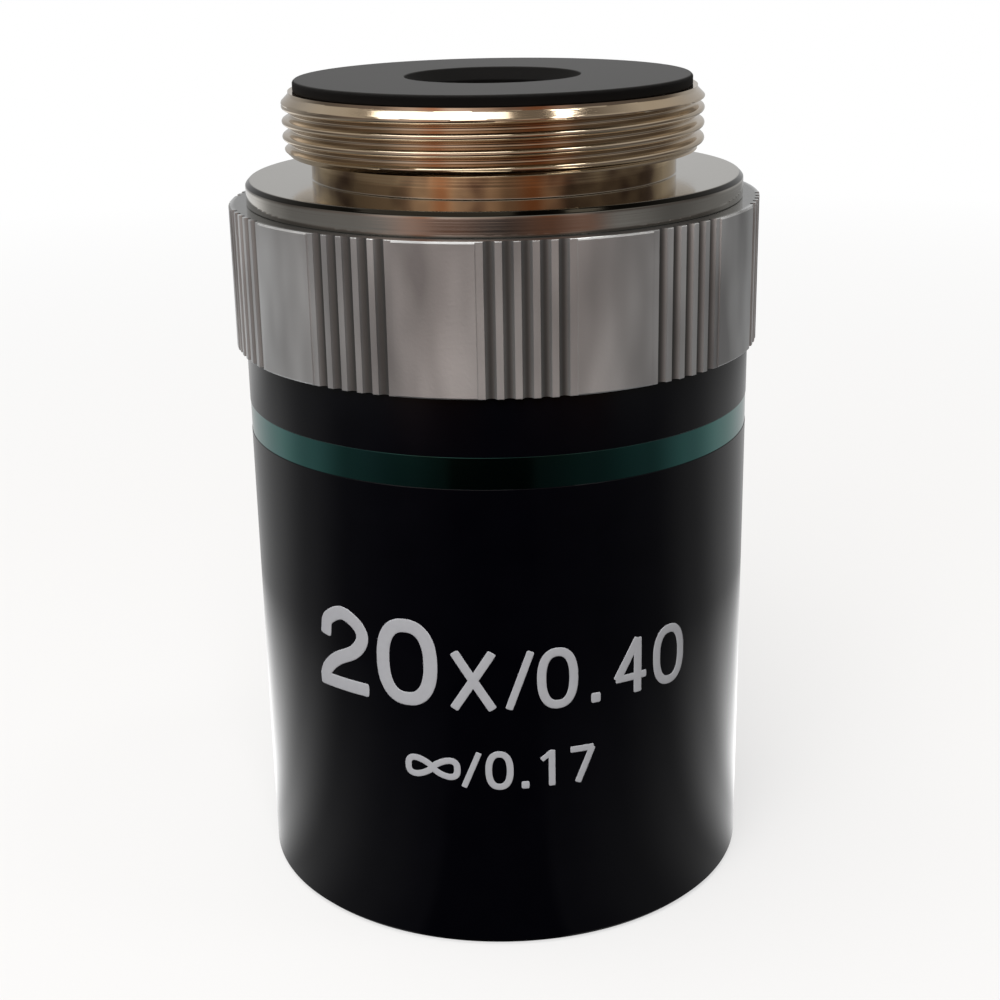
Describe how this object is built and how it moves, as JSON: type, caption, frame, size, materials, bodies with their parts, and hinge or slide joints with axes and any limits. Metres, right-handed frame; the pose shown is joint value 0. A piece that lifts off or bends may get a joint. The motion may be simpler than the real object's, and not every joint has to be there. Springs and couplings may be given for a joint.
{
  "type": "microscope objective",
  "caption": "Long working distance microscope objective with a standard thread, a fluted satin grip ring, a black barrel with a green band, and a stack of lens cells inside.",
  "frame": {"origin": "on the optical axis, in the plane of the nose face", "axes": "+Z along the optical axis from the specimen to the mounting thread; the picture looks along +Y, slightly down"},
  "size_m": [0.0256, 0.0256, 0.0399],
  "materials": {
    "plated_brass": "polished",
    "satin_chrome": "satin",
    "black_barrel": "gloss",
    "green_enamel": "gloss",
    "matte_black": "matte",
    "black_tube": "matte",
    "black_cell": "matte",
    "bright_brass": "satin",
    "number_paint": "matte",
    "coated_glass": "polished"
  },
  "bodies": {
    "root": {"thread_mount": "plated_brass", "grip_ring": "satin_chrome", "outer_barrel": "black_barrel", "green_band": "green_enamel", "rear_stop": "matte_black", "lens_tube": "black_tube", "parfocal_shim": "bright_brass", "tube_lock_ring": "black_tube", "retaining_ring": "black_tube", "front_cell": "black_cell", "second_cell": "black_cell", "third_cell": "black_cell", "fourth_cell": "black_cell", "rear_cell": "black_cell", "first_spacer": "black_cell", "second_spacer": "black_cell", "long_spacer": "black_cell", "front_lens": "coated_glass", "second_lens": "coated_glass", "third_crown": "coated_glass", "third_flint": "coated_glass", "fourth_flint": "coated_glass", "fourth_crown": "coated_glass", "rear_crown": "coated_glass", "rear_flint": "coated_glass"}
  },
  "joints": []
}
